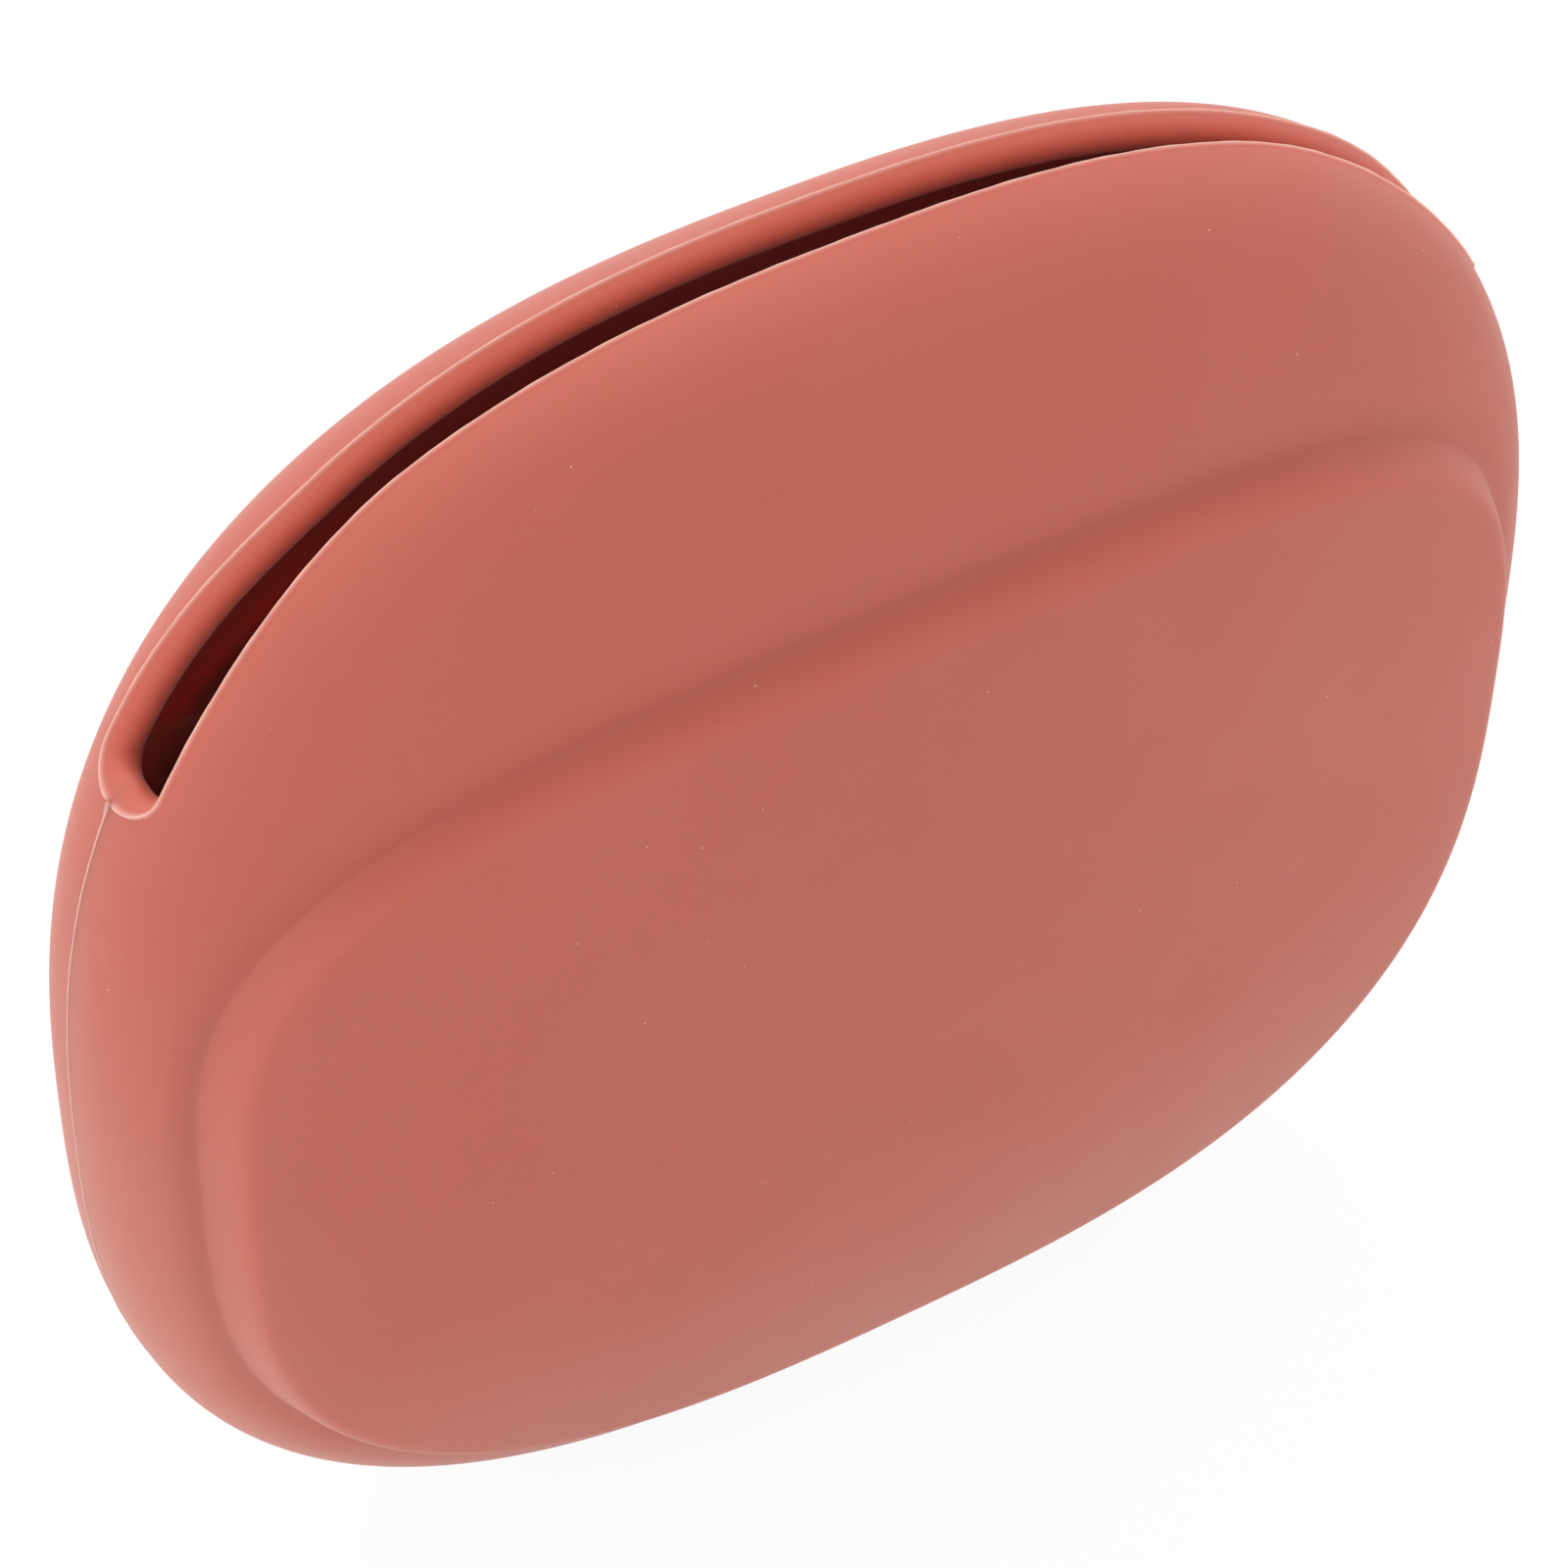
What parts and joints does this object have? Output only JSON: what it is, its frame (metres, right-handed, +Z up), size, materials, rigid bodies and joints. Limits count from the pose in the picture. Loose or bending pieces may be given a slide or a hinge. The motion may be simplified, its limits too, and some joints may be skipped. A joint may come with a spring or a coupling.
{
  "type": "silicone storage pouch",
  "caption": "Pebble-shaped soft silicone pouch with a raised rounded panel on each face and a slot mouth over its top that opens between flexing lips.",
  "frame": {"origin": "under the middle of the pouch, on the level of the lowest point of its base", "axes": "+Z up through the mouth, -Y towards the front face, +X to the right seen from the front"},
  "size_m": [0.12, 0.0374, 0.1107],
  "materials": {
    "silicone": "matte terracotta silicone with a soft powdery sheen"
  },
  "bodies": {
    "pouch_body": {"front_shell": "silicone", "back_shell": "silicone"},
    "front_lip": {"front_lip": "silicone"},
    "back_lip": {"back_lip": "silicone"}
  },
  "joints": [
    {"name": "front_lip_flex", "type": "hinge", "parent": "pouch_body", "child": "front_lip", "pos_m": [0, -0.0148, 0.0905], "axis": [1, 0, 0], "range_deg": [0, 30], "stiffness_Nm_per_rad": 0.08},
    {"name": "back_lip_flex", "type": "hinge", "parent": "pouch_body", "child": "back_lip", "pos_m": [0, 0.0148, 0.0905], "axis": [-1, 0, 0], "range_deg": [0, 30], "stiffness_Nm_per_rad": 0.08}
  ]
}
